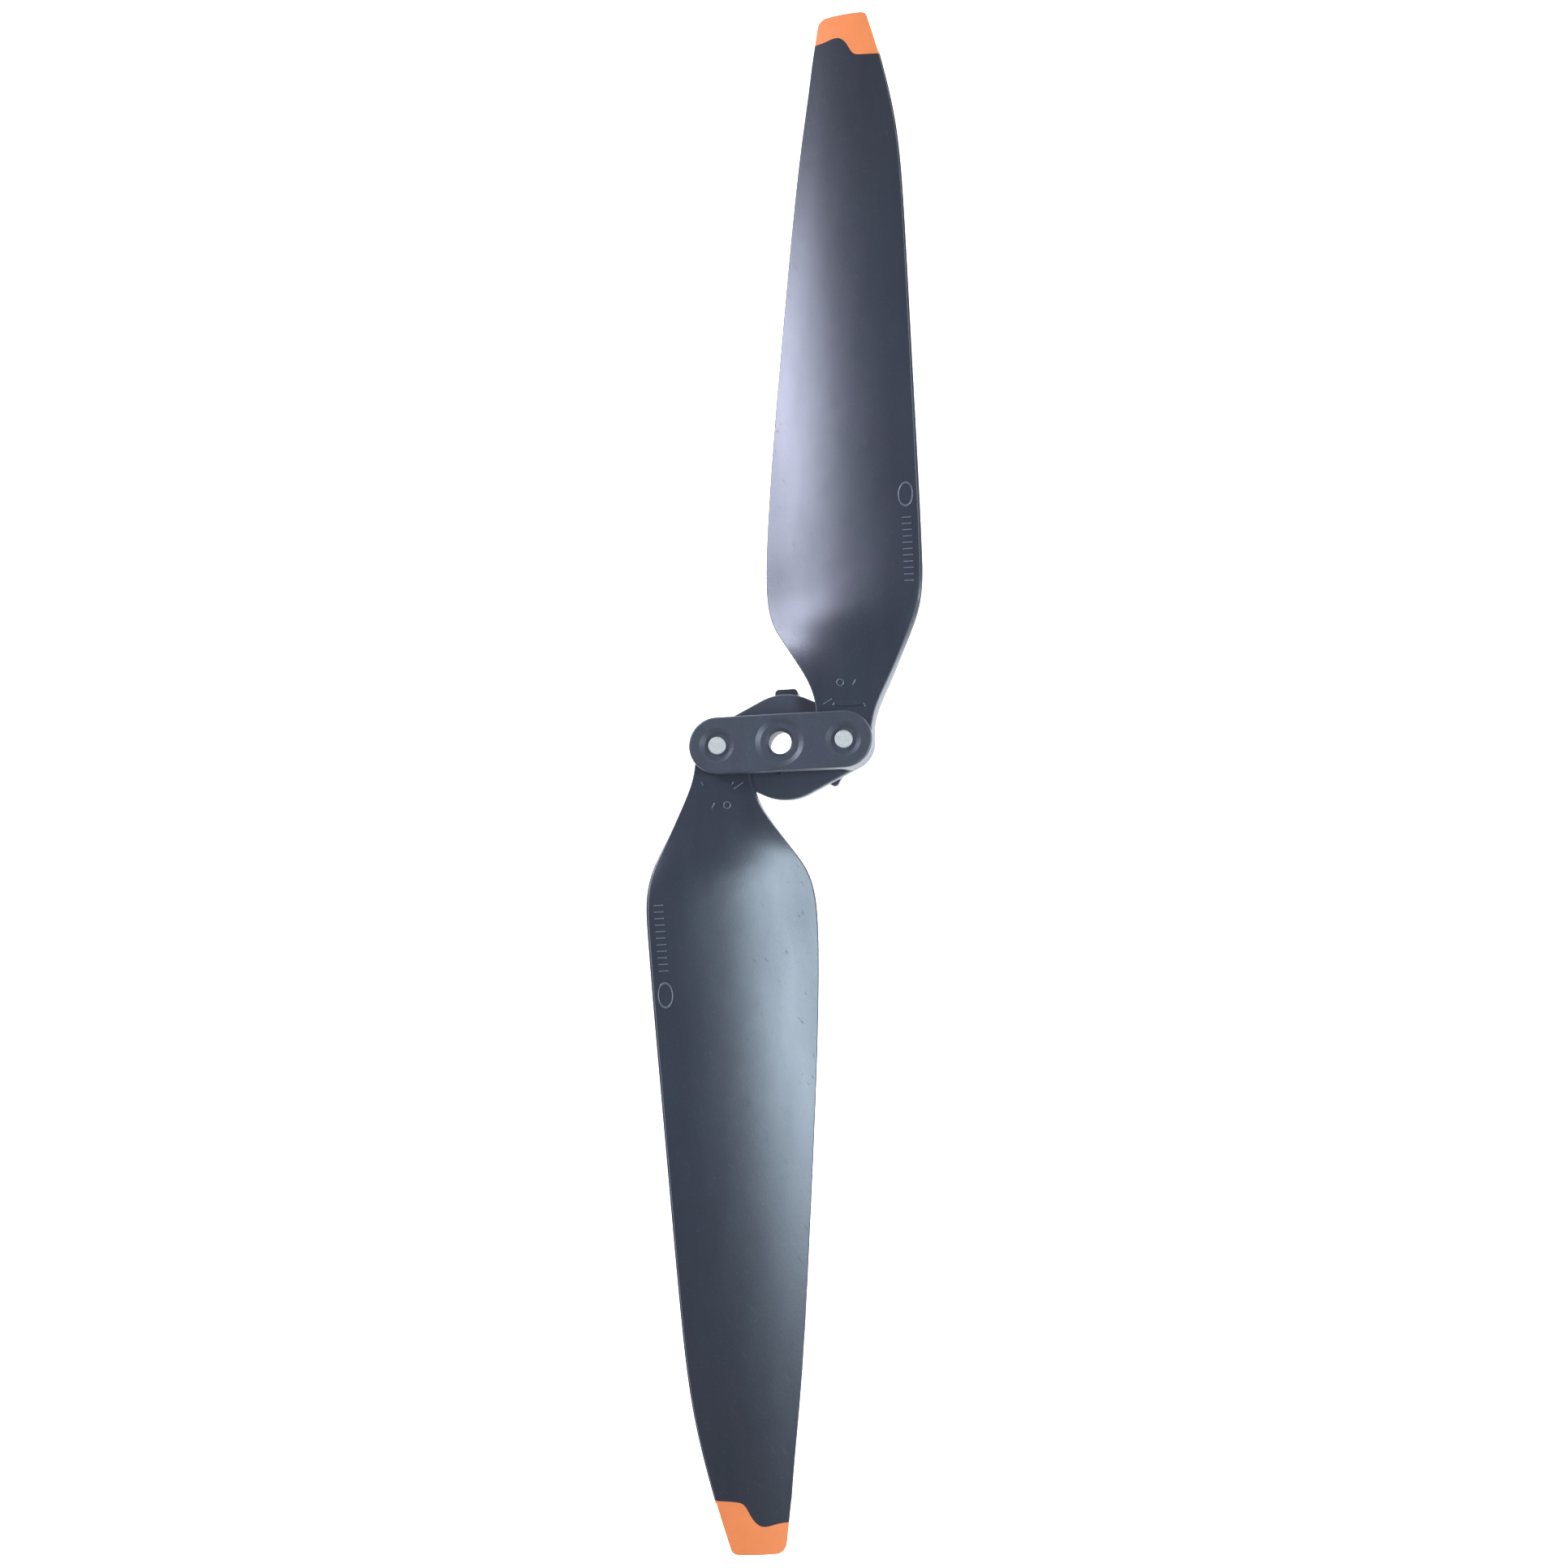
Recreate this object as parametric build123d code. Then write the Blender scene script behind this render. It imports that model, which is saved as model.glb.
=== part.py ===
"""Folding two-blade propeller with a quick-release hub.

Two twisted blades turn on shouldered rivets between a flat upper clamp and a lower hub.
The lower hub carries the shaft bore and three bayonet lugs that hook under a motor's mount.

Frame: +Z up along the rotor's axis, origin in the middle of the shaft bore on the seat face
(the ring below the lower plate), +X from the left pivot to the right pivot.
Lengths are millimetres and angles are degrees. Each piece is written to parts/NODE.step.
"""
from build123d import *
from math import pi, sin, tan, radians
import os

# --- pivots and the pose the part is stored in -------------------------------------------------
PIVOT_X = 9.05              # from the rotor's axis to each pivot
REST_TURN_A = -1.8          # turn of the right blade away from +Y
REST_TURN_B = 181.1         # turn of the left blade away from +Y, so it points to -Y

# --- the stack of layers, from the seat face up ------------------------------------------------
SEAT_RISE = 0.3             # height of the seat ring below the plate
PLATE_THICK = 1.8
WASHER_THICK = 0.2
ROOT_THICK = 3.0
CLAMP_THICK = 2.2
SIDE_PLAY = 0.05            # free play above and below each blade root

PLATE_BOTTOM = SEAT_RISE
PLATE_TOP = PLATE_BOTTOM + PLATE_THICK
ROOT_BOTTOM = PLATE_TOP + WASHER_THICK + SIDE_PLAY
ROOT_TOP = ROOT_BOTTOM + ROOT_THICK
CLAMP_BOTTOM = ROOT_TOP + SIDE_PLAY + WASHER_THICK
CLAMP_TOP = CLAMP_BOTTOM + CLAMP_THICK

# --- lower hub ---------------------------------------------------------------------------------
PLATE_RADIUS = 7.75         # round middle of the diamond plate
PLATE_END_RADIUS = 3.8      # round ends of the plate, below the pivots
SHAFT_BORE_RADIUS = 2.4
SEAT_RADIUS = 5.2
CENTRE_BOSS_RADIUS = 3.3
KEY_REACH = 4.0             # small keys that stand on the plate beside the boss
KEY_WIDTH = 1.5
KEY_HEIGHT = 0.6
LUG_ANGLES = (90, 210, 330)
LUG_REACH = 9.0             # from the rotor's axis to the foot's outer face
LUG_LEG_INNER = 5.6
LUG_LEG_OUTER = 7.2
LUG_DEPTH = 3.2             # below the seat face
LUG_FOOT_TOP = -1.0
LUG_WIDTH = 3.4
LUG_RAMP = 0.7

# --- pivot pins --------------------------------------------------------------------------------
PIN_RADIUS = 1.27           # ends, in the clamp and in the plate
SHOULDER_RADIUS = 1.75      # the bearing length between them
PIN_HEAD_RADIUS = 2.1
PIN_HEAD_TOP = PLATE_BOTTOM + 0.6
PRESS_GAP = 0.02
RUNNING_GAP = 0.05
WASHER_RADIUS = 3.5

# --- upper clamp -------------------------------------------------------------------------------
CLAMP_HALF_WIDTH = 4.05
CENTRE_HOLE_RADIUS = 1.62
CENTRE_CHAMFER = 0.45
CENTRE_DISH_RADIUS = 3.45
CENTRE_DISH_DEPTH = 0.3
PIN_DISH_RADIUS = 2.5
PIN_DISH_DEPTH = 0.6
DISH_SLOPE = 0.7            # how far a dish's wall leans in from top to floor

# --- blades ------------------------------------------------------------------------------------
BOSS_RADIUS = 3.8           # round root end about the pivot
BLADE_LENGTH = 110.85       # from the pivot to the outer end's trailing corner
TIP_SWEEP = 0.15            # how far the leading corner stands back from it
DROOP = 0.003               # fall per millimetre of reach
SWELL_SKEW = 0.65           # puts the thickest place a third of the way back from the nose
STEP_START = 5.0            # low step beyond the clamp on the blade's top, bowed towards it
STEP_BOW = 12.0
STEP_HEIGHT = 0.12
STEP_FADE = 1.4
STEP_SPAN = (-1.5, 2.7)
EASE = 0.15                 # eased edges along the top of the blade's walls
WALL_DRAFT = 6.0            # lean of the root's leading wall, in degrees
# reach, leading edge, trailing edge, pitch angle, thickness, nose height, tail height, camber
STATIONS = (
    (2.0, 3.8, -4.0, 0.0, 3.0, 3.0, 3.0, 0.0),
    (4.3, 4.3, -4.1, 0.0, 3.0, 3.0, 3.0, 0.0),
    (6.5, 5.15, -4.5, 0.0, 3.0, 3.0, 3.0, 0.0),
    (9.0, 6.4, -5.5, 1.5, 3.0, 2.9, 2.7, 0.0),
    (12.0, 7.9, -7.3, 6.0, 2.8, 2.5, 1.9, 0.15),
    (15.0, 9.4, -9.25, 12.0, 2.6, 1.9, 1.2, 0.5),
    (18.0, 10.6, -11.0, 16.0, 2.35, 1.4, 0.8, 0.85),
    (21.0, 11.2, -11.85, 17.8, 2.1, 1.0, 0.6, 0.9),
    (26.0, 11.3, -12.15, 18.0, 1.9, 0.8, 0.5, 0.85),
    (34.0, 11.05, -11.85, 17.5, 1.7, 0.7, 0.45, 0.85),
    (48.0, 10.5, -10.8, 16.5, 1.5, 0.6, 0.4, 0.8),
    (64.0, 9.85, -9.3, 15.0, 1.3, 0.55, 0.4, 0.7),
    (80.0, 9.15, -7.7, 13.0, 1.15, 0.5, 0.4, 0.6),
    (92.0, 8.15, -6.25, 10.8, 1.0, 0.45, 0.35, 0.5),
    (100.0, 6.7, -5.1, 9.2, 0.9, 0.4, 0.35, 0.4),
    (106.0, 5.3, -4.35, 8.0, 0.8, 0.4, 0.35, 0.3),
    (111.5, 3.95, -3.65, 7.0, 0.7, 0.35, 0.3, 0.2),
)
CHORD_STEPS = (0.0, 0.02, 0.07, 0.16, 0.3, 0.48, 0.66, 0.83, 1.0)
# the plan of the outer end: the trailing side, the two corners and the leading side
TIP_PLAN = ((-4.55, 104.0), (-3.45, BLADE_LENGTH), (3.75, BLADE_LENGTH - TIP_SWEEP), (5.65, 104.0))
TIP_TRAIL_ROUND = 1.45
TIP_LEAD_ROUND = 0.95
TIP_MARGIN = 5.0
# the coloured tip's inner border, from past the trailing edge to past the leading edge
TIP_BORDER = (
    (-6.5, 106.7), (-3.9, 106.85), (-2.4, 106.95), (-1.1, 107.15), (-0.4, 107.05), (0.3, 106.55),
    (0.9, 105.7), (1.4, 104.7), (1.95, 104.0), (2.8, 103.73), (5.0, 103.6), (7.0, 103.4),
)

ROUND = 0.3                 # moulded edges
TALL = 40.0                 # taller than anything that it cuts


def disc(radius, bottom, top, x=0.0):
    """A round solid about a vertical line through x, from bottom to top."""
    return Pos(x, 0, bottom) * extrude(Circle(radius), top - bottom)


def dish(radius, depth, top, x=0.0):
    """The cutter for a round dish with a sloping wall, open at the top face."""
    floor = Pos(x, 0, top - depth) * Circle(radius - DISH_SLOPE)
    mouth = Pos(x, 0, top) * Circle(radius)
    return loft([floor, mouth])


def edges_at(solid, height):
    """The edges that lie flat at one height."""
    return solid.edges().filter_by_position(Axis.Z, height - 0.01, height + 0.01)


def upper_clamp():
    """The flat bar with round ends that holds both pins from above."""
    bar = Pos(0, 0, CLAMP_BOTTOM) * extrude(
        SlotCenterToCenter(2 * PIVOT_X, 2 * CLAMP_HALF_WIDTH), CLAMP_THICK
    )
    bar = fillet(edges_at(bar, CLAMP_TOP), ROUND)
    bar -= dish(CENTRE_DISH_RADIUS, CENTRE_DISH_DEPTH, CLAMP_TOP)
    bar -= disc(CENTRE_HOLE_RADIUS, CLAMP_BOTTOM, CLAMP_TOP)
    floor = CLAMP_TOP - CENTRE_DISH_DEPTH
    rim = bar.edges().filter_by(GeomType.CIRCLE).filter_by_position(Axis.Z, floor - 0.01, floor + 0.01)
    bar = chamfer(rim.sort_by(SortBy.RADIUS)[0], CENTRE_CHAMFER)
    for x in (-PIVOT_X, PIVOT_X):
        bar -= dish(PIN_DISH_RADIUS, PIN_DISH_DEPTH, CLAMP_TOP, x)
        bar -= disc(PIN_RADIUS + PRESS_GAP, CLAMP_BOTTOM, CLAMP_TOP, x)
    return bar


def bayonet_lug(angle):
    """One hook below the plate: a leg, and a foot that points outwards."""
    profile = Polyline(
        (LUG_LEG_INNER, PLATE_BOTTOM + ROUND),
        (LUG_LEG_OUTER, PLATE_BOTTOM + ROUND),
        (LUG_LEG_OUTER, LUG_FOOT_TOP),
        (LUG_REACH, LUG_FOOT_TOP),
        (LUG_REACH, -LUG_DEPTH + LUG_RAMP),
        (LUG_REACH - LUG_RAMP, -LUG_DEPTH),
        (LUG_LEG_INNER, -LUG_DEPTH),
        close=True,
    )
    lug = extrude(Plane.XZ * make_face(profile), LUG_WIDTH / 2, both=True)
    corners = lug.edges().filter_by(Axis.Z).group_by(Axis.X)[-1]
    lug = fillet(corners, 2 * ROUND)
    return Rot(0, 0, angle) * lug


def diamond_plate():
    """The flat plate: a round middle that narrows to a round end below each pivot."""
    rounds = Circle(PLATE_RADIUS).edges()
    for x in (-PIVOT_X, PIVOT_X):
        rounds += (Pos(x, 0) * Circle(PLATE_END_RADIUS)).edges()
    plate = Pos(0, 0, PLATE_BOTTOM) * extrude(make_hull(rounds), PLATE_THICK)
    return fillet(edges_at(plate, PLATE_TOP), ROUND)


def lower_hub():
    """The plate with its seat ring, centre boss, keys, bayonet lugs, bore and pin seats."""
    hub = diamond_plate()
    hub += disc(SEAT_RADIUS, 0, PLATE_BOTTOM)
    hub += disc(CENTRE_BOSS_RADIUS, PLATE_TOP, CLAMP_BOTTOM)
    hub += Pos(0, 0, PLATE_TOP) * extrude(Rectangle(KEY_WIDTH, 2 * KEY_REACH), KEY_HEIGHT)
    for angle in LUG_ANGLES:
        hub += bayonet_lug(angle)
    hub -= disc(SHAFT_BORE_RADIUS, -LUG_DEPTH, CLAMP_BOTTOM)
    for x in (-PIVOT_X, PIVOT_X):
        hub -= disc(PIN_RADIUS + PRESS_GAP, PLATE_BOTTOM, PLATE_TOP, x)
        hub -= disc(PIN_HEAD_RADIUS + RUNNING_GAP, PLATE_BOTTOM, PIN_HEAD_TOP, x)
    return hub


def pivot_pin(x):
    """A shouldered rivet: a head in the plate, a bearing length and a closed upper end."""
    top = CLAMP_TOP - PIN_DISH_DEPTH + ROUND
    pin = disc(PIN_HEAD_RADIUS, PLATE_BOTTOM, PIN_HEAD_TOP, x)
    pin += disc(PIN_RADIUS, PIN_HEAD_TOP, top, x)
    pin += disc(SHOULDER_RADIUS, PLATE_TOP, CLAMP_BOTTOM, x)
    return chamfer(edges_at(pin, top), ROUND / 3)


def washer(x, bottom):
    """A thin friction washer on a pin's shoulder."""
    ring = disc(WASHER_RADIUS, bottom, bottom + WASHER_THICK, x)
    return ring - disc(SHOULDER_RADIUS + RUNNING_GAP, bottom, bottom + WASHER_THICK, x)


def blade_section(reach, lead, trail, pitch, thick, nose, tail, camber):
    """One closed cross-section of a blade, square to its length.

    The tail is a short wall. The nose is a leaning wall at the root and an arc further out.
    Between them the upper and lower lines swell from the nose's height to the thickness and
    back to the tail's height, about a bowed middle line that leans at the pitch angle. The
    upper line ends in an eased edge at both walls.
    """
    middle_height = (ROOT_BOTTOM + ROOT_TOP) / 2 - DROOP * reach
    lean = tan(radians(pitch))
    squareness = nose / thick
    bulge = EASE / 3 + (1 - squareness) * nose / 2
    foot = squareness * nose * tan(radians(WALL_DRAFT))
    nose_ease = min(EASE, nose / 4)
    tail_ease = min(EASE, tail / 4)

    def line(front, back, side):
        """The upper (side 1) or lower (side -1) line, from the nose to the tail."""
        points = []
        for step in CHORD_STEPS:
            across = front + (back - front) * step
            straight = (nose + (tail - nose) * step) / 2
            half = straight + (thick / 2 - straight) * sin(pi * step**SWELL_SKEW)
            middle = middle_height + across * lean + 4 * camber * step * (1 - step)
            points.append((across, reach, middle + side * half))
        return points

    upper = line(lead - bulge - nose_ease, trail + tail_ease, 1)
    lower = line(lead - bulge + foot, trail, -1)
    shoulder = (lead - bulge, reach, upper[0][2] - nose_ease)
    heel = (trail, reach, upper[-1][2] - tail_ease)
    nose_tip = (lead + foot / 2, reach, (shoulder[2] + lower[0][2]) / 2)
    outline = [
        Edge.make_spline(upper, parameters=CHORD_STEPS),
        Edge.make_line(upper[-1], heel),
        Edge.make_line(heel, lower[-1]),
        Edge.make_spline(lower, parameters=CHORD_STEPS),
        Edge.make_three_point_arc(lower[0], nose_tip, shoulder),
        Edge.make_line(shoulder, upper[0]),
    ]
    return Face(Wire(outline))


def root_plan(level, lead_shift, trail_shift):
    """The root's plan at one level, with its leading and trailing sides moved outwards."""
    reach, lead, trail = STATIONS[0][:3]
    right = BOSS_RADIUS + lead_shift
    left = -BOSS_RADIUS - trail_shift
    bottom = -BOSS_RADIUS - (lead_shift + trail_shift) / 2
    outline = [
        Line((lead + lead_shift, reach), (right, 0)),
        ThreePointArc((right, 0), (0, bottom), (left, 0)),
        Line((left, 0), (trail - trail_shift, reach)),
        Line((trail - trail_shift, reach), (lead + lead_shift, reach)),
    ]
    return Pos(0, 0, level) * make_face(outline)


def blade_root():
    """The flat root end round the pivot, up to the first station, with its top edge eased."""
    foot = ROOT_THICK * tan(radians(WALL_DRAFT))
    levels = [
        root_plan(ROOT_BOTTOM, foot, 0),
        root_plan(ROOT_TOP - EASE, 0, 0),
        root_plan(ROOT_TOP, -EASE, -EASE),
    ]
    return loft(levels, ruled=True)


def clamp_step():
    """A low step on the blade's top that starts in a shallow bow and fades outwards."""
    left, right = STEP_SPAN
    profile = Polyline(
        (STEP_START, ROOT_TOP - 1),
        (STEP_START, ROOT_TOP + STEP_HEIGHT),
        (STEP_START + STEP_FADE, ROOT_TOP - STEP_HEIGHT),
        (STEP_START + STEP_FADE, ROOT_TOP - 1),
        close=True,
    )
    step = Pos(left, 0, 0) * extrude(Plane.YZ * make_face(profile), right - left)
    return step & Pos(0, STEP_START + STEP_BOW, 0) * disc(STEP_BOW, 0, TALL, (left + right) / 2)


def outer_end_cutter():
    """Everything outside the rounded plan of the blade's outer end."""
    trail_side, trail_corner, lead_corner, lead_side = TIP_PLAN
    plan = make_face(Polyline(*TIP_PLAN, close=True))
    corners = plan.vertices().sort_by(Axis.Y)[-2:].sort_by(Axis.X)
    plan = fillet(corners[0], TIP_TRAIL_ROUND)
    corner = plan.vertices().sort_by_distance((*lead_corner, 0))[0]
    plan = fillet(corner, TIP_LEAD_ROUND)
    beyond = Pos(0, lead_side[1] + TALL / 2) * Rectangle(TALL, TALL)
    return Pos(0, 0, -TALL / 2) * extrude(beyond - plan, TALL)


def tip_cutter():
    """The block that holds the coloured tip, with its curved inner border."""
    start = TIP_BORDER[0]
    end = TIP_BORDER[-1]
    far = BLADE_LENGTH + TIP_MARGIN
    outline = [
        Spline(*TIP_BORDER),
        Line(end, (end[0], far)),
        Line((end[0], far), (start[0], far)),
        Line((start[0], far), start),
    ]
    return Pos(0, 0, -TALL / 2) * extrude(make_face(outline), TALL)


def whole_blade():
    """A blade with its pivot at the origin, its length along +Y and its nose towards +X."""
    blade = blade_root() + loft([blade_section(*station) for station in STATIONS])
    blade += clamp_step()
    blade -= outer_end_cutter()
    return blade - disc(SHOULDER_RADIUS + RUNNING_GAP, 0, TALL)


def build_nodes():
    """Every piece by its node's name, in its rest place."""
    blade = whole_blade()
    tip_block = tip_cutter()
    inner_blade = blade - tip_block
    tip = blade & tip_block
    nodes = {"upper_clamp": upper_clamp(), "lower_hub": lower_hub()}
    for name, x, turn in (("a", PIVOT_X, REST_TURN_A), ("b", -PIVOT_X, REST_TURN_B)):
        place = Pos(x, 0, 0) * Rot(0, 0, turn)
        nodes[f"blade_{name}"] = place * inner_blade
        nodes[f"blade_tip_{name}"] = place * tip
        nodes[f"pivot_pin_{name}"] = pivot_pin(x)
        nodes[f"washer_{name}_lower"] = washer(x, PLATE_TOP)
        nodes[f"washer_{name}_upper"] = washer(x, CLAMP_BOTTOM - WASHER_THICK)
    return nodes


if __name__ == "__main__":
    os.makedirs("parts", exist_ok=True)
    for node, solid in build_nodes().items():
        export_step(solid, f"parts/{node}.step")
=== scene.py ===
"""Looks of a folding propeller: moulded black plastic, coloured tips, rivets and washers.

Everything is in metres in the frame of the part: +Z up along the rotor's axis, +X from the left
pivot to the right pivot, and the origin on the seat ring.
"""

import logging
import math
from dataclasses import dataclass
from enum import Enum

import bmesh
import bpy
from mathutils import Matrix, Vector
from mathutils.bvhtree import BVHTree


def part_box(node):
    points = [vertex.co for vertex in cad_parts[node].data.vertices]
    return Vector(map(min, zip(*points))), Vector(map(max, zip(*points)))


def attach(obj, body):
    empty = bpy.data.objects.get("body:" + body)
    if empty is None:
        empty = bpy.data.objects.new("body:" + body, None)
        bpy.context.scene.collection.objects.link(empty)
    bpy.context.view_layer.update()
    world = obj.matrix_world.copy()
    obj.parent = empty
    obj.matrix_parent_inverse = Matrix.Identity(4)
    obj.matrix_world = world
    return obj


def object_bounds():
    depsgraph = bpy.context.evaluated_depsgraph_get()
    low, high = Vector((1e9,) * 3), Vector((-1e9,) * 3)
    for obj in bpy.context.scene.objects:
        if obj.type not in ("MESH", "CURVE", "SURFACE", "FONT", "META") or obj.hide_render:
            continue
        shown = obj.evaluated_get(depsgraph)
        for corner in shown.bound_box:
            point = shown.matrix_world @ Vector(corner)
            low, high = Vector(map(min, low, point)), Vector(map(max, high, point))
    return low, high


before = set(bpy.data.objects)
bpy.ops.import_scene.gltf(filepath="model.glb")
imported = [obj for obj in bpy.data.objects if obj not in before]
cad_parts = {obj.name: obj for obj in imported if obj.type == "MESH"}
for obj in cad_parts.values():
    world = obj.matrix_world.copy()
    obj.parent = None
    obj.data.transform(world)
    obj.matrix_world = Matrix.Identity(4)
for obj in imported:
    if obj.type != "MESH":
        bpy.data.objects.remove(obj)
CAD_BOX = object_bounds()

MM = 0.001
log = logging.getLogger("propeller")


# --- shader writing --------------------------------------------------------------------------


class Sheet:
    """The node tree of one material or of the surround, written as expressions."""

    def __init__(self, owner: bpy.types.Material | bpy.types.World) -> None:
        """Start with an empty tree.

        Args:
            owner: The new material or world that the tree belongs to.
        """
        owner.use_nodes = True
        self.owner = owner
        self.tree = owner.node_tree
        self.tree.nodes.clear()

    @classmethod
    def material(cls, name: str) -> "Sheet":
        """An empty sheet for a new material."""
        return cls(bpy.data.materials.new(name))

    def node(self, kind: str, settings: dict | None = None, inputs: dict | None = None) -> bpy.types.Node:
        """Add one node.

        Args:
            kind: The node's type, such as ShaderNodeMath.
            settings: Properties set before the inputs; "stops" fills a colour ramp.
            inputs: Socket name or number to a value, a Flow or an output socket.

        Returns:
            The new node.
        """
        made = self.tree.nodes.new(kind)
        for key, value in (settings or {}).items():
            if key == "stops":
                self._fill_ramp(made.color_ramp, value)
            else:
                setattr(made, key, value)
        for key, value in (inputs or {}).items():
            if isinstance(value, Flow):
                value = value.socket
            if isinstance(value, bpy.types.NodeSocket):
                self.tree.links.new(value, made.inputs[key])
            else:
                made.inputs[key].default_value = value
        return made

    @staticmethod
    def _fill_ramp(ramp: bpy.types.ColorRamp, stops: list[tuple[float, float]]) -> None:
        """Set a ramp's stops.

        Args:
            ramp: The ramp to fill.
            stops: Position and grey value of each stop, at least two.
        """
        while len(ramp.elements) < len(stops):
            ramp.elements.new(1.0)
        for element, (place, grey) in zip(ramp.elements, stops):
            element.position = place
            element.color = (grey, grey, grey, 1.0)

    def flow(
        self, kind: str, output: str | int, settings: dict | None = None, inputs: dict | None = None
    ) -> "Flow":
        """Add one node and take one of its outputs.

        Args:
            kind: The node's type.
            output: Name or number of the output.
            settings: As in node.
            inputs: As in node.

        Returns:
            The output as a Flow.
        """
        return Flow(self, self.node(kind, settings, inputs).outputs[output])

    def place(
        self, shift: Vector | tuple = (0, 0, 0), turn: float = 0.0, stretch: tuple = (1, 1, 1)
    ) -> "Flow":
        """Object coordinates, moved to a pattern's own place.

        Args:
            shift: The point that becomes the pattern's origin, in metres.
            turn: Turn about Z that the pattern undoes, in radians.
            stretch: Scale along the pattern's axes.

        Returns:
            The coordinates.
        """
        raw = self.flow("ShaderNodeTexCoord", "Object")
        spin = Matrix.Rotation(-turn, 4, "Z")
        moved = -(spin @ Vector(shift))
        settled = self.flow(
            "ShaderNodeMapping", "Vector", {"vector_type": "POINT"},
            {"Vector": raw, "Location": moved, "Rotation": (0.0, 0.0, -turn)},
        )
        sides = {0: settled, 1: stretch}
        return self.flow("ShaderNodeVectorMath", "Vector", {"operation": "MULTIPLY"}, sides)

    def noise(self, at: "Flow", size: float, detail: float = 2.0, rough: float = 0.5) -> "Flow":
        """Soft noise from 0 to 1.

        Args:
            at: The coordinates.
            size: Size of its blobs in metres.
            detail: Octaves of finer noise.
            rough: Strength of those octaves.

        Returns:
            The noise value.
        """
        return self.flow(
            "ShaderNodeTexNoise", 0, {"noise_dimensions": "3D"},
            {"Vector": at, "Scale": 1.0 / size, "Detail": detail, "Roughness": rough},
        )

    def ramp(self, value: "Flow", *stops: tuple[float, float]) -> "Flow":
        """Map a value through grey stops.

        Args:
            value: What to map.
            stops: Position and result pairs.

        Returns:
            The mapped value.
        """
        return self.flow("ShaderNodeValToRGB", "Color", {"stops": list(stops)}, {"Fac": value})

    def mix(self, share: "Flow | float", low: "Flow | tuple", high: "Flow | tuple") -> "Flow":
        """Blend two colours.

        Args:
            share: 0 gives low and 1 gives high.
            low: First colour.
            high: Second colour.

        Returns:
            The blended colour.
        """
        made = self.tree.nodes.new("ShaderNodeMix")
        made.data_type = "RGBA"
        for index, value in ((0, share), (6, low), (7, high)):
            if isinstance(value, Flow):
                self.tree.links.new(value.socket, made.inputs[index])
            else:
                made.inputs[index].default_value = value
        return Flow(self, made.outputs[2])

    def bump(self, height: "Flow", depth: float, under: "Flow | None" = None) -> "Flow":
        """Turn a height from 0 to 1 into a normal.

        Args:
            height: The height.
            depth: Real depth of the pattern in metres.
            under: The normal of a pattern that this one lies on.

        Returns:
            The normal.
        """
        inputs = {"Strength": 1.0, "Distance": depth, "Height": height}
        if under is not None:
            inputs["Normal"] = under
        return self.flow("ShaderNodeBump", 0, {}, inputs)

    def surface(self, **inputs: "Flow | float | tuple") -> bpy.types.Material:
        """Finish the material with a Principled surface.

        Args:
            inputs: Socket names with underscores for spaces, and their values.

        Returns:
            The finished material.
        """
        named = {key.replace("_", " "): value for key, value in inputs.items()}
        shader = self.node("ShaderNodeBsdfPrincipled", {}, named)
        self.node("ShaderNodeOutputMaterial", {}, {"Surface": shader.outputs[0]})
        return self.owner


class Flow:
    """An output socket that takes part in Python arithmetic."""

    def __init__(self, sheet: Sheet, socket: bpy.types.NodeSocket) -> None:
        """Wrap one output socket.

        Args:
            sheet: The sheet that owns it.
            socket: The output.
        """
        self.sheet = sheet
        self.socket = socket

    def _math(self, operation: str, first: "Flow | float", second: "Flow | float") -> "Flow":
        """One Math node on two operands."""
        return self.sheet.flow("ShaderNodeMath", 0, {"operation": operation}, {0: first, 1: second})

    def __add__(self, other: "Flow | float") -> "Flow":
        """self + other."""
        return self._math("ADD", self, other)

    __radd__ = __add__

    def __mul__(self, other: "Flow | float") -> "Flow":
        """self * other."""
        return self._math("MULTIPLY", self, other)

    __rmul__ = __mul__

    def __sub__(self, other: "Flow | float") -> "Flow":
        """self - other."""
        return self._math("SUBTRACT", self, other)

    def __rsub__(self, other: float) -> "Flow":
        """other - self."""
        return self._math("SUBTRACT", other, self)


# --- finishes --------------------------------------------------------------------------------


def shade(colour: tuple, share: float, hue: tuple = (1.0, 1.0, 1.0)) -> tuple:
    """Scale a colour.

    Args:
        colour: Red, green, blue and alpha.
        share: Brightness against the colour.
        hue: Extra share of each channel.

    Returns:
        The scaled colour, fully opaque.
    """
    return tuple(part * share * tint for part, tint in zip(colour, hue)) + (1.0,)


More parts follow.
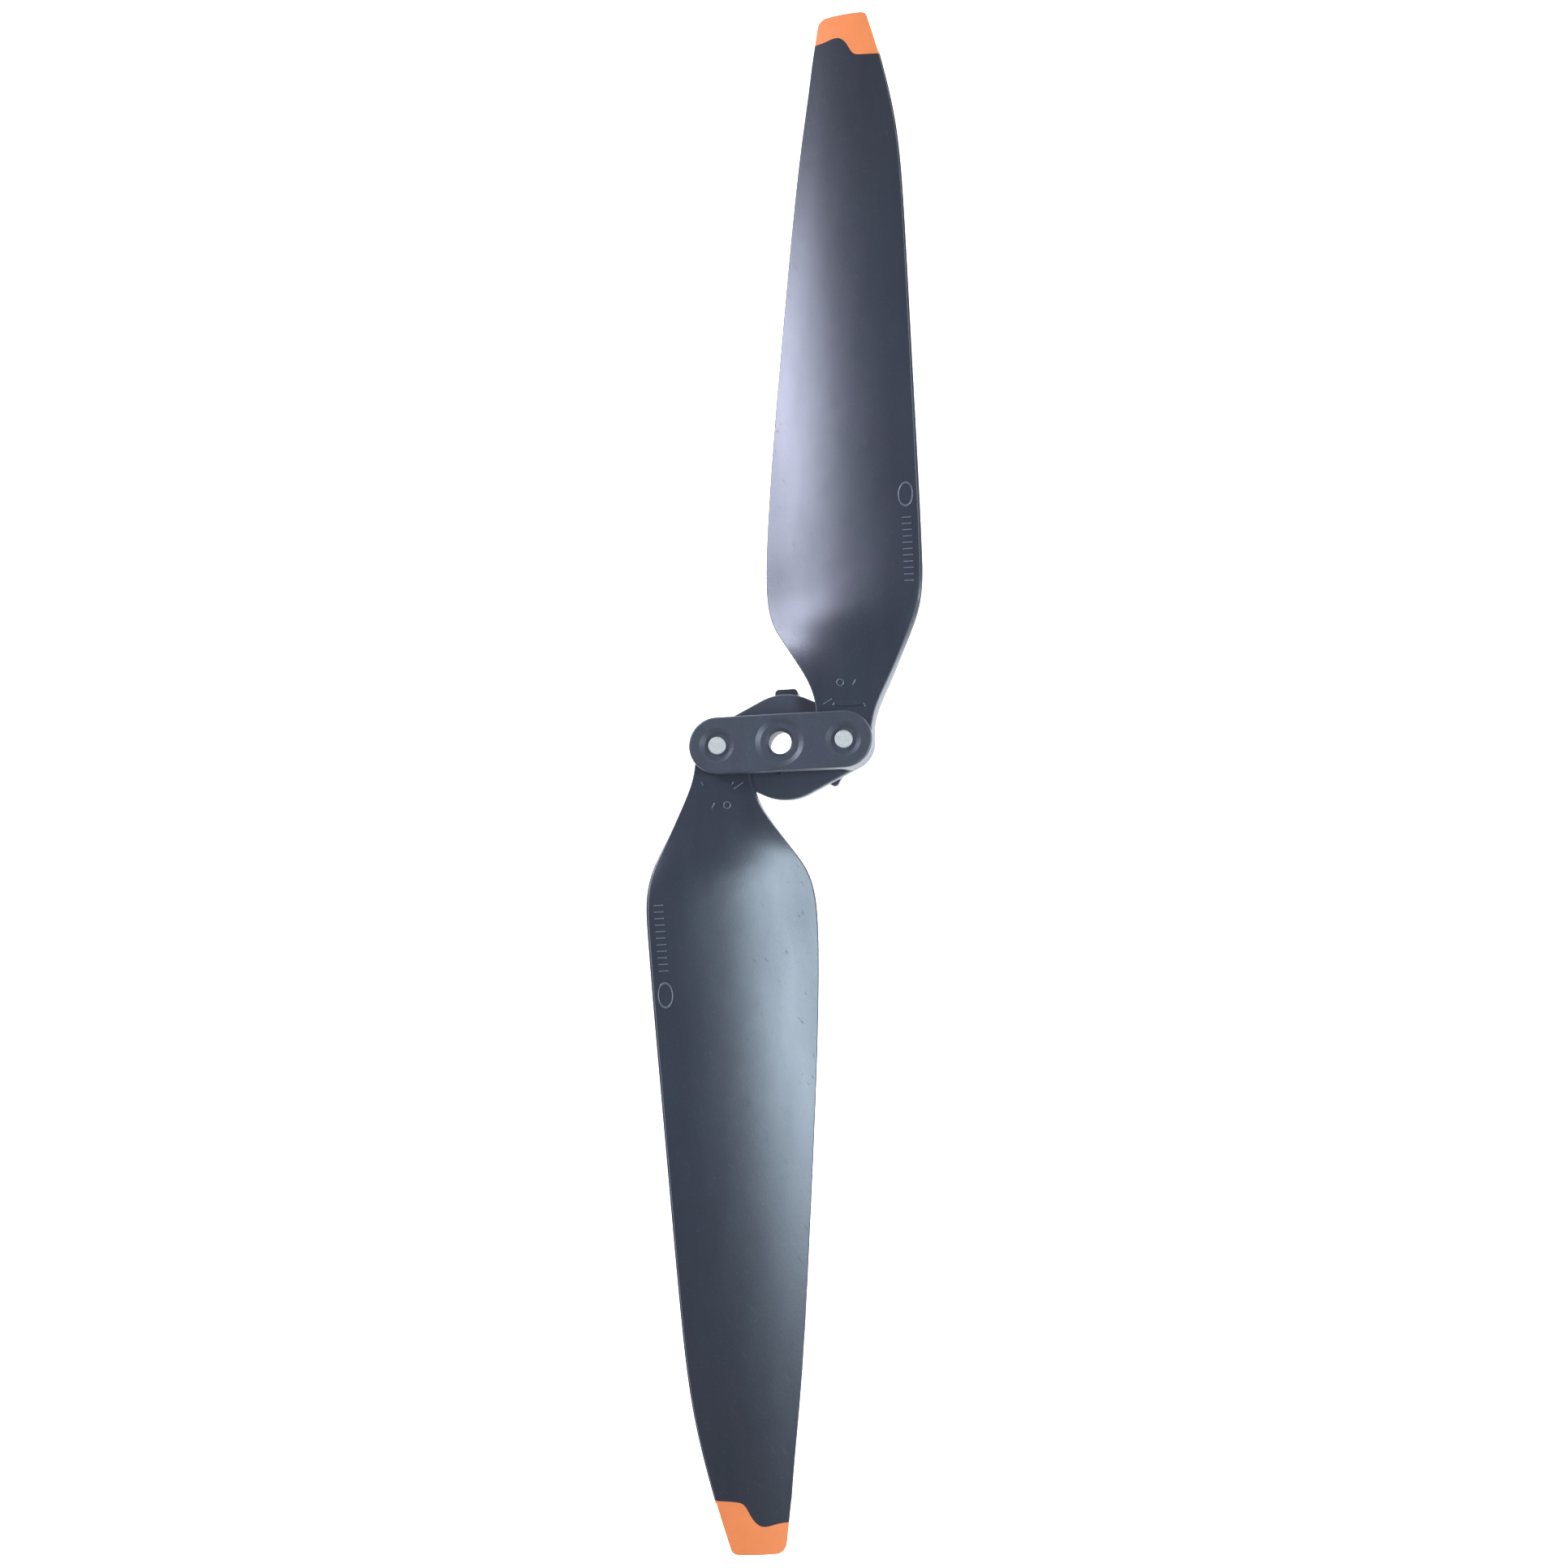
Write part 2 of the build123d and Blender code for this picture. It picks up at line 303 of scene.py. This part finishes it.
@dataclass(frozen=True)
class MouldedPlastic:
    """Glass-filled nylon from a fine-textured mould.

    Attributes:
        name: The material's name.
        colour: Base colour.
        rough: Middle roughness.
        reach: Length from the gate outwards that sets where the painted shade darkens the outer end, in
            metres.
        shift: The gate's place, where the flow lines start and from which the painted shade is measured.
        turn: Turn of the piece about Z, in radians.
    """

    name: str
    colour: tuple
    rough: float = 0.36
    reach: float = 0.11
    shift: tuple = (0.0, 0.0, 0.0)
    turn: float = 0.0

    FLOW_SIZE = 5.0 * MM
    FLOW_STRETCH = (1.0, 0.22, 1.0)
    FLOW_ROUGH = 0.10
    CLOUD_SIZE = 7.0 * MM
    SPECK_SIZE = 0.35 * MM
    SPECK_SHARE = 0.4
    SPECK_ROUGH = 0.05
    SCUFF_SIZE = 0.5 * MM
    SCUFF_STRETCH = (1.0, 0.05, 1.0)
    SCUFF_TURN = 0.6
    SCUFF_ROUGH = 0.10
    GRAIN_SIZE = 0.34 * MM
    GRAIN_DEPTH = 0.006 * MM
    WAVE_SIZE = 9.0 * MM
    WAVE_DEPTH = 0.03 * MM
    COOL = (0.96, 1.02, 1.02)
    WARM = (1.03, 0.98, 1.04)
    DARK = 0.86
    LIGHT = 1.3
    # Share and depth of the painted shade at the outer end.
    TIP_SHADE_SHARE = 0.45
    TIP_SHADE_DARK = 0.3
    SPECK_LIGHT = 2.6
    INDEX = 1.53
    GLOSS = 0.68

    def body(self, sheet: Sheet, flow_lines: Flow, specks: Flow) -> Flow:
        """Colour of the plastic: flow lines, soft clouds of tint, glass specks and painted shade that
        darkens the outer end.

        Args:
            sheet: The sheet to write on.
            flow_lines: Noise drawn out along the piece.
            specks: Mask of the glass fibres at the surface.

        Returns:
            The base colour.
        """
        still = sheet.place()
        cloud = sheet.ramp(sheet.noise(still, self.CLOUD_SIZE, 2.0), (0.4, 0.0), (0.6, 1.0))
        low, high = (
            sheet.mix(cloud, shade(self.colour, share, self.COOL), shade(self.colour, share, self.WARM))
            for share in (self.DARK, self.LIGHT)
        )
        base = sheet.mix(flow_lines, low, high)
        # Painted shade: the colour darkens towards the outer end, standing in for the light falling off
        # there.
        place = sheet.place(self.shift, self.turn)
        along = sheet.flow("ShaderNodeSeparateXYZ", "Y", {}, {"Vector": place})
        tip_shade = sheet.ramp(along * (1.0 / self.reach), (0.45, 0.0), (1.0, 1.0))
        base = sheet.mix(tip_shade * self.TIP_SHADE_SHARE, base, shade(self.colour, self.TIP_SHADE_DARK))
        return sheet.mix(specks * self.SPECK_SHARE, base, shade(self.colour, self.SPECK_LIGHT))

    def build(self) -> bpy.types.Material:
        """Write the material.

        Returns:
            The material.
        """
        sheet = Sheet.material(self.name)
        along = sheet.place(self.shift, self.turn, self.FLOW_STRETCH)
        still = sheet.place()
        slanted = sheet.place(self.shift, self.turn + self.SCUFF_TURN, self.SCUFF_STRETCH)
        flow_lines = sheet.noise(along, self.FLOW_SIZE, 4.0, 0.6)
        specks = sheet.ramp(sheet.noise(still, self.SPECK_SIZE, 3.0, 0.7), (0.6, 0.0), (0.74, 1.0))
        scuffs = sheet.ramp(sheet.noise(slanted, self.SCUFF_SIZE, 2.0), (0.68, 0.0), (0.76, 1.0))
        rough = flow_lines * self.FLOW_ROUGH + (self.rough - self.FLOW_ROUGH / 2)
        rough = rough + scuffs * self.SCUFF_ROUGH + specks * self.SPECK_ROUGH
        grain = sheet.bump(sheet.noise(still, self.GRAIN_SIZE, 3.0, 0.65), self.GRAIN_DEPTH)
        normal = sheet.bump(sheet.noise(along, self.WAVE_SIZE, 1.0), self.WAVE_DEPTH, under=grain)
        return sheet.surface(
            Base_Color=self.body(sheet, flow_lines, specks), Roughness=rough, Normal=normal,
            IOR=self.INDEX, Specular_IOR_Level=self.GLOSS,
        )


@dataclass(frozen=True)
class TipPaint:
    """Satin orange on the blade's end.

    Attributes:
        name: The material's name.
        colour: Base colour.
    """

    name: str
    colour: tuple

    CLOUD_SIZE = 2.5 * MM
    PEEL_SIZE = 0.3 * MM
    PEEL_DEPTH = 0.004 * MM
    DUST_SIZE = 0.22 * MM
    DUST_SHARE = 0.3
    SMOOTHEST = 0.36
    ROUGH_RANGE = 0.1

    def build(self) -> bpy.types.Material:
        """Write the material.

        Returns:
            The material.
        """
        sheet = Sheet.material(self.name)
        still = sheet.place()
        cloud = sheet.noise(still, self.CLOUD_SIZE, 3.0, 0.6)
        dust = sheet.ramp(sheet.noise(still, self.DUST_SIZE, 2.0, 0.6), (0.66, 0.0), (0.76, 1.0))
        body = sheet.mix(cloud, shade(self.colour, 0.9), shade(self.colour, 1.04))
        body = sheet.mix(dust * self.DUST_SHARE, body, shade(self.colour, 0.6))
        rough = cloud * self.ROUGH_RANGE + self.SMOOTHEST + dust * self.ROUGH_RANGE
        peel = sheet.bump(sheet.noise(still, self.PEEL_SIZE, 2.0), self.PEEL_DEPTH)
        return sheet.surface(Base_Color=body, Roughness=rough, Normal=peel, IOR=1.5)


@dataclass(frozen=True)
class TurnedMetal:
    """Satin metal with fine rings from the tool.

    Attributes:
        name: The material's name.
        colour: Base colour.
        centre: Axis of the piece.
    """

    name: str
    colour: tuple
    centre: tuple

    RING_PITCH = 0.6 * MM
    RING_DEPTH = 0.003 * MM
    SMUDGE_SIZE = 0.9 * MM
    PIT_SIZE = 0.16 * MM
    PIT_DEPTH = 0.004 * MM
    SMOOTHEST = 0.42
    LEAST_METAL = 0.6

    def build(self) -> bpy.types.Material:
        """Write the material.

        Returns:
            The material.
        """
        sheet = Sheet.material(self.name)
        at = sheet.place(self.centre)
        rings = sheet.flow(
            "ShaderNodeTexWave", "Fac",
            {"wave_type": "RINGS", "rings_direction": "Z", "wave_profile": "SIN"},
            {"Vector": at, "Scale": 1.0 / self.RING_PITCH, "Distortion": 1.2, "Detail": 2.0},
        )
        smudge = sheet.noise(at, self.SMUDGE_SIZE, 3.0, 0.6)
        pits = sheet.ramp(sheet.noise(at, self.PIT_SIZE, 2.0), (0.3, 0.0), (0.5, 1.0))
        body = sheet.mix(smudge, shade(self.colour, 0.8), shade(self.colour, 1.05))
        body = sheet.mix(pits, shade(self.colour, 0.7), body)
        normal = sheet.bump(rings, self.RING_DEPTH, under=sheet.bump(pits, self.PIT_DEPTH))
        rough = smudge * 0.2 + self.SMOOTHEST
        bare = smudge * 0.1 + self.LEAST_METAL
        return sheet.surface(Base_Color=body, Roughness=rough, Metallic=bare, Normal=normal)


@dataclass(frozen=True)
class SlickSheet:
    """Pale low-friction plastic, cut from sheet.

    Attributes:
        name: The material's name.
        colour: Base colour.
    """

    name: str
    colour: tuple

    CLOUD_SIZE = 0.8 * MM

    def build(self) -> bpy.types.Material:
        """Write the material.

        Returns:
            The material.
        """
        sheet = Sheet.material(self.name)
        cloud = sheet.noise(sheet.place(), self.CLOUD_SIZE, 3.0, 0.6)
        body = sheet.mix(cloud, shade(self.colour, 0.82), shade(self.colour, 1.0))
        return sheet.surface(Base_Color=body, Roughness=cloud * 0.15 + 0.35, IOR=1.36)


def dress(piece: bpy.types.Object, material: bpy.types.Material) -> None:
    """Give a piece one material.

    Args:
        piece: The piece, a CAD node or a new one.
        material: Its material.
    """
    piece.data.materials.clear()
    piece.data.materials.append(material)


# --- moulded marks ---------------------------------------------------------------------------


def turned_place(across: float, reach: float, angle: float) -> Matrix:
    """Matrix that turns a shape in plan and moves it.

    Args:
        across: Place across the blade, towards the leading edge.
        reach: Place along the blade, from the pivot.
        angle: Turn in plan, in degrees.

    Returns:
        The matrix.
    """
    return Matrix.Translation((across, reach, 0.0)) @ Matrix.Rotation(math.radians(angle), 4, "Z")


@dataclass(frozen=True)
class Bar:
    """A raised straight bar with rounded edges.

    Attributes:
        across: Middle of the bar, towards the leading edge.
        reach: Middle of the bar, from the pivot.
        length: Its length.
        angle: Turn from the leading-edge direction, in degrees.
    """

    across: float
    reach: float
    length: float
    angle: float = 0.0

    ROUNDING = 0.28

    def carve(self, width: float, height: float) -> bmesh.types.BMesh:
        """Make the bar in plan, with its height above and below the surface.

        Args:
            width: Width of the stroke.
            height: Height from the foot to the top.

        Returns:
            The shape.
        """
        shape = bmesh.new()
        bmesh.ops.create_cube(shape, size=1.0)
        bmesh.ops.scale(shape, vec=(self.length, width, height), verts=shape.verts)
        bmesh.ops.bevel(
            shape, geom=shape.edges[:], offset=width * self.ROUNDING, affect="EDGES", segments=2,
            profile=0.5, material=-1,
        )
        place = turned_place(self.across, self.reach, self.angle)
        bmesh.ops.transform(shape, matrix=place, verts=shape.verts)
        return shape


@dataclass(frozen=True)
class Ring:
    """A raised ring, round or drawn out to an oval.

    Attributes:
        across: Middle of the ring, towards the leading edge.
        reach: Middle of the ring, from the pivot.
        radius: Half its size across.
        stretch: Its length against its width.
    """

    across: float
    reach: float
    radius: float
    stretch: float = 1.0

    STEPS = 28
    SIDES = 8

    def carve(self, width: float, height: float) -> bmesh.types.BMesh:
        """Make the ring in plan, with its height above and below the surface.

        Args:
            width: Width of the stroke.
            height: Height from the foot to the top.

        Returns:
            The shape.
        """
        shape = bmesh.new()
        bmesh.ops.create_circle(shape, segments=self.SIDES, radius=0.5, cap_ends=False)
        bmesh.ops.scale(shape, vec=(width, height, 1.0), verts=shape.verts)
        bmesh.ops.rotate(shape, matrix=Matrix.Rotation(math.pi / 2, 3, "X"), verts=shape.verts)
        bmesh.ops.translate(shape, vec=(self.radius, 0.0, 0.0), verts=shape.verts)
        bmesh.ops.spin(
            shape, geom=shape.edges[:], cent=(0, 0, 0), axis=(0, 0, 1), angle=2 * math.pi,
            steps=self.STEPS, use_merge=True, use_duplicate=False,
        )
        bmesh.ops.remove_doubles(shape, verts=shape.verts, dist=MM / 1000)
        bmesh.ops.scale(shape, vec=(1.0, self.stretch, 1.0), verts=shape.verts)
        bmesh.ops.translate(shape, vec=(self.across, self.reach, 0.0), verts=shape.verts)
        bmesh.ops.recalc_face_normals(shape, faces=shape.faces)
        return shape


def joined(name: str, shapes: list[bmesh.types.BMesh]) -> bpy.types.Object:
    """Put several shapes in one smooth-shaded piece.

    Args:
        name: The piece's name.
        shapes: The shapes, which are used up.

    Returns:
        The piece, linked to the scene.
    """
    mesh = bpy.data.meshes.new(name)
    whole = bmesh.new()
    for shape in shapes:
        part = bpy.data.meshes.new(f"{name}_part")
        shape.to_mesh(part)
        shape.free()
        whole.from_mesh(part)
        bpy.data.meshes.remove(part)
    for face in whole.faces:
        face.smooth = True
    whole.to_mesh(mesh)
    whole.free()
    piece = bpy.data.objects.new(name, mesh)
    bpy.context.scene.collection.objects.link(piece)
    return piece


# --- sub-assemblies --------------------------------------------------------------------------


class Side(Enum):
    """The two blades, by the letter in their nodes' names."""

    RIGHT = "a"
    LEFT = "b"


TURNS = {Side.RIGHT: -1.8, Side.LEFT: 181.1}    # of each blade away from +Y, in degrees
UNSHADED_REACH = 1.0                                # well beyond the piece, so that no painted shade darkens it


@dataclass
class Hub:
    """Clamp, lower hub, rivets and washers.

    Attributes:
        plastic: Colour of the clamp and the lower hub.
        rough: Their middle roughness.
        metal: Colour of the rivets.
        washer: Colour of the washers.
    """

    plastic: tuple = (0.045, 0.051, 0.067)
    rough: float = 0.44
    metal: tuple = (0.83, 0.83, 0.79)
    washer: tuple = (0.74, 0.74, 0.71)

    def dress(self) -> None:
        """Give every CAD node of the hub its finish."""
        black = MouldedPlastic("hub_plastic", self.plastic, rough=self.rough, reach=UNSHADED_REACH).build()
        for name in ("upper_clamp", "lower_hub"):
            dress(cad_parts[name], black)
        slick = SlickSheet("washer_plastic", self.washer).build()
        for side in Side:
            low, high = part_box(f"pivot_pin_{side.value}")
            metal = TurnedMetal(f"pin_metal_{side.value}", self.metal, tuple((low + high) / 2)).build()
            dress(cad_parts[f"pivot_pin_{side.value}"], metal)
            for level in ("lower", "upper"):
                dress(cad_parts[f"washer_{side.value}_{level}"], slick)
        log.info("hub dressed")


@dataclass
class Blade:
    """One blade with its coloured tip and the raised marks on its top.

    Places on the blade are given across it, towards the leading edge, and along it from the pivot.

    Attributes:
        side: Which blade it is.
        turn: Turn of the blade away from +Y, in degrees.
        plastic: Colour of the blade.
        tip: Colour of its outer end.
        mark_highlight: Colour of the raised marks, made paler than the blade as painted highlight.
        mark_rough: Roughness of the raised marks.
        stroke: Width of a mark's stroke.
        proud: Height of a mark above the surface.
        buried: Depth of a mark's foot below the surface.
        row_start: Middle of the first bar in the row.
        row_end: Middle of the last bar in the row.
        row_count: Number of bars in the row.
        row_bar: Length of each bar in the row.
        pad: The oval ring beyond the row.
        root_marks: The marks at the root.
    """

    side: Side
    turn: float
    plastic: tuple = (0.0255, 0.0305, 0.044)
    tip: tuple = (0.93, 0.270, 0.086)
    # Painted highlight: the marks are the blade's own plastic, made paler for the light their edges catch.
    mark_highlight: tuple = (0.105, 0.120, 0.150)
    mark_rough: float = 0.3
    stroke: float = 0.19 * MM
    proud: float = 0.10 * MM
    buried: float = 0.09 * MM
    row_start: tuple = (9.45 * MM, 22.2 * MM)
    row_end: tuple = (9.15 * MM, 31.4 * MM)
    row_count: int = 11
    row_bar: float = 1.35 * MM
    pad: Ring = Ring(9.05 * MM, 34.8 * MM, 1.0 * MM, 1.7)
    root_marks: tuple = (
        Bar(-2.45 * MM, 5.7 * MM, 1.6 * MM, 33.0),
        Bar(-1.6 * MM, 5.3 * MM, 0.55 * MM, 60.0),
        Bar(2.8 * MM, 5.1 * MM, 0.6 * MM, 118.0),
        Ring(-0.65 * MM, 8.4 * MM, 0.48 * MM),
        Bar(1.35 * MM, 8.35 * MM, 0.95 * MM, 62.0),
    )

    @property
    def letter(self) -> str:
        """The letter in the names of the blade's pieces."""
        return self.side.value

    @property
    def body(self) -> str:
        """The body that the blade rides on."""
        return f"swing_blade_{self.letter}"

    @property
    def pivot(self) -> Vector:
        """The point on the pivot's axis at the seat's height."""
        low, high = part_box(f"pivot_pin_{self.letter}")
        return Vector(((low.x + high.x) / 2, (low.y + high.y) / 2, 0.0))

    def dress(self) -> None:
        """Give the blade and its tip their finishes."""
        black = MouldedPlastic(
            f"blade_plastic_{self.letter}", self.plastic, shift=tuple(self.pivot),
            turn=math.radians(self.turn),
        ).build()
        orange = TipPaint(f"tip_colour_{self.letter}", self.tip).build()
        dress(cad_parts[f"blade_{self.letter}"], black)
        dress(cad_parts[f"blade_tip_{self.letter}"], orange)
        log.info("blade %s dressed", self.letter)

    def row(self) -> list[Bar]:
        """Evenly spaced plain bars beside the leading edge."""
        start, end = Vector(self.row_start), Vector(self.row_end)
        places = [start.lerp(end, step / (self.row_count - 1)) for step in range(self.row_count)]
        return [Bar(place.x, place.y, self.row_bar) for place in places]

    def drape(self, shape: bmesh.types.BMesh, skin: BVHTree) -> bmesh.types.BMesh:
        """Lay a shape from the blade's plan on its top surface.

        Args:
            shape: The shape, whose Z is its height above the surface.
            skin: The blade's surface.

        Returns:
            The same shape.
        """
        place = Matrix.Translation(self.pivot) @ Matrix.Rotation(math.radians(self.turn), 4, "Z")
        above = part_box("upper_clamp")[1].z
        for corner in shape.verts:
            height = corner.co.z
            spot = place @ Vector((corner.co.x, corner.co.y, 0.0))
            spot.z = 2 * above
            hit = skin.ray_cast(spot, Vector((0, 0, -1)))[0]
            corner.co = hit + Vector((0.0, 0.0, height))
        return shape

    def marks(self) -> None:
        """Raise the plain marks on the blade's top, paler than the blade as painted highlight on their
        edges.
        """
        name = f"mark_plastic_{self.letter}"
        # Painted highlight: the paler mark colour stands in for light on the marks' edges.
        mark_highlight = MouldedPlastic(name, self.mark_highlight, rough=self.mark_rough, reach=UNSHADED_REACH).build()
        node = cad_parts[f"blade_{self.letter}"].data
        skin = BVHTree.FromPolygons(
            [corner.co.copy() for corner in node.vertices], [tuple(face.vertices) for face in node.polygons]
        )
        tall = self.proud + self.buried
        lift = (self.proud - self.buried) / 2
        groups = {"root_marks": self.root_marks, "edge_marks": (*self.row(), self.pad)}
        for name, parts in groups.items():
            shapes = []
            for part in parts:
                shape = part.carve(self.stroke, tall)
                bmesh.ops.translate(shape, vec=(0.0, 0.0, lift), verts=shape.verts)
                shapes.append(self.drape(shape, skin))
            piece = joined(f"{name}_{self.letter}", shapes)
            dress(piece, mark_highlight)
            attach(piece, self.body)
            log.info("%s raised with %d marks", piece.name, len(shapes))

    def build(self) -> None:
        """Dress the blade and raise its marks."""
        self.dress()
        self.marks()


@dataclass(frozen=True)
class Softbox:
    """One rectangular light.

    Attributes:
        name: Its name.
        place: Its middle, in metres.
        aim: The point it faces.
        size: Width and height in metres.
        power: Watts.
        colour: Its tint.
    """

    name: str
    place: tuple
    aim: tuple
    size: tuple
    power: float
    colour: tuple

    def hang(self) -> None:
        """Hang the light in the scene."""
        lamp = bpy.data.lights.new(self.name, "AREA")
        lamp.shape = "RECTANGLE"
        lamp.size, lamp.size_y = self.size
        lamp.energy = self.power
        lamp.color = self.colour
        holder = bpy.data.objects.new(self.name, lamp)
        holder.location = self.place
        way = Vector(self.aim) - Vector(self.place)
        holder.rotation_euler = way.to_track_quat("-Z", "Y").to_euler()
        bpy.context.scene.collection.objects.link(holder)
        log.info("%s hung", self.name)


@dataclass
class Studio:
    """Pale floor, soft lights and the camera.

    Attributes:
        floor_half: Half the floor's side.
        floor_drop: Gap between the part's lowest point and the floor.
        floor_glow: Strength of the floor's own light.
        paper_cloud: Size of the clouds in the floor's paper.
        paper: The two shades of the paper.
        sky: Colour of the surround.
        zenith: Strength of the surround overhead.
        horizon: Strength of the surround at the horizon.
        eye: Place of the camera.
        aim: Point that the camera looks at.
        roll: Roll of the camera, in degrees.
        lens: Focal length in millimetres.
        sensor: Width of the sensor in millimetres.
        nearest: Nearest distance that the camera sees.
        softboxes: The lights.
    """

    floor_half: float = 1.5
    floor_drop: float = 0.2 * MM
    floor_glow: float = 1.6
    paper_cloud: float = 0.2
    paper: tuple = ((0.86, 0.86, 0.87, 1.0), (0.9, 0.9, 0.91, 1.0))
    sky: tuple = (0.97, 0.97, 1.0, 1.0)
    zenith: float = 0.26
    horizon: float = 1.2
    eye: tuple = (25.3 * MM, -22.9 * MM, 178.9 * MM)
    aim: tuple = (-0.1 * MM, -5.6 * MM, 3.9 * MM)
    roll: float = 1.91
    lens: float = 28.4
    sensor: float = 36.0
    nearest: float = 5.0 * MM
    softboxes: tuple = (
        Softbox("left_box", (-0.468, 0.300, 0.257), (0, 0.04, 0), (0.22, 0.16), 3.25, (0.76, 0.79, 1.0)),
        Softbox("right_box", (0.417, -0.085, 0.435), (0, -0.04, 0), (0.24, 0.16), 3.15, (0.70, 0.86, 1.0)),
    )

    def floor(self) -> bpy.types.Object:
        """Lay the floor below the lugs.

        Returns:
            The floor.
        """
        mesh = bpy.data.meshes.new("floor")
        shape = bmesh.new()
        bmesh.ops.create_grid(shape, x_segments=1, y_segments=1, size=self.floor_half)
        bmesh.ops.translate(shape, verts=shape.verts, vec=(0, 0, CAD_BOX[0][2] - self.floor_drop))
        shape.to_mesh(mesh)
        shape.free()
        floor = bpy.data.objects.new("floor", mesh)
        bpy.context.scene.collection.objects.link(floor)
        sheet = Sheet.material("floor_paper")
        cloud = sheet.noise(sheet.place(), self.paper_cloud, 2.0)
        body = sheet.mix(cloud, *self.paper)
        glow = {"Emission_Color": (1.0, 1.0, 1.0, 1.0), "Emission_Strength": self.floor_glow}
        dress(floor, sheet.surface(Base_Color=body, Roughness=0.8, **glow))
        return floor

    def surround(self) -> None:
        """Set a pale surround that is brighter near the floor than overhead."""
        world = bpy.data.worlds.new("surround")
        sheet = Sheet(world)
        way = sheet.flow("ShaderNodeTexCoord", "Generated")
        rise = sheet.flow("ShaderNodeSeparateXYZ", "Z", {}, {"Vector": way})
        low = sheet.flow("ShaderNodeMath", 0, {"operation": "ABSOLUTE"}, {0: 1.0 - rise})
        glow = low * low * low * (self.horizon - self.zenith) + self.zenith
        shader = sheet.node("ShaderNodeBackground", {}, {"Color": self.sky, "Strength": glow})
        sheet.node("ShaderNodeOutputWorld", {}, {"Surface": shader.outputs[0]})
        bpy.context.scene.world = world

    def camera(self) -> None:
        """Set up the camera."""
        lens = bpy.data.cameras.new("camera")
        lens.lens = self.lens
        lens.sensor_width = self.sensor
        lens.clip_start = self.nearest
        holder = bpy.data.objects.new("camera", lens)
        back = (Vector(self.eye) - Vector(self.aim)).normalized()
        up = (Vector((0, 1, 0)) - back * back.y).normalized()
        right = up.cross(back)
        angle = math.radians(self.roll)
        rolled_up = up * math.cos(angle) + right * math.sin(angle)
        rolled_right = rolled_up.cross(back)
        turn = Matrix((rolled_right, rolled_up, back)).transposed().to_4x4()
        holder.matrix_world = Matrix.Translation(self.eye) @ turn
        bpy.context.scene.collection.objects.link(holder)
        bpy.context.scene.camera = holder

    def build(self) -> None:
        """Set up floor, lights and camera."""
        self.floor()
        for softbox in self.softboxes:
            softbox.hang()
        self.surround()
        self.camera()
        bpy.context.scene.view_settings.view_transform = "Standard"
        log.info("studio ready")


def main() -> None:
    """Build and dress the propeller, then set up the studio."""
    logging.basicConfig(level=logging.INFO)
    Hub().dress()
    for side, turn in TURNS.items():
        Blade(side, turn).build()
    Studio().build()


if __name__ == "__main__":
    main()
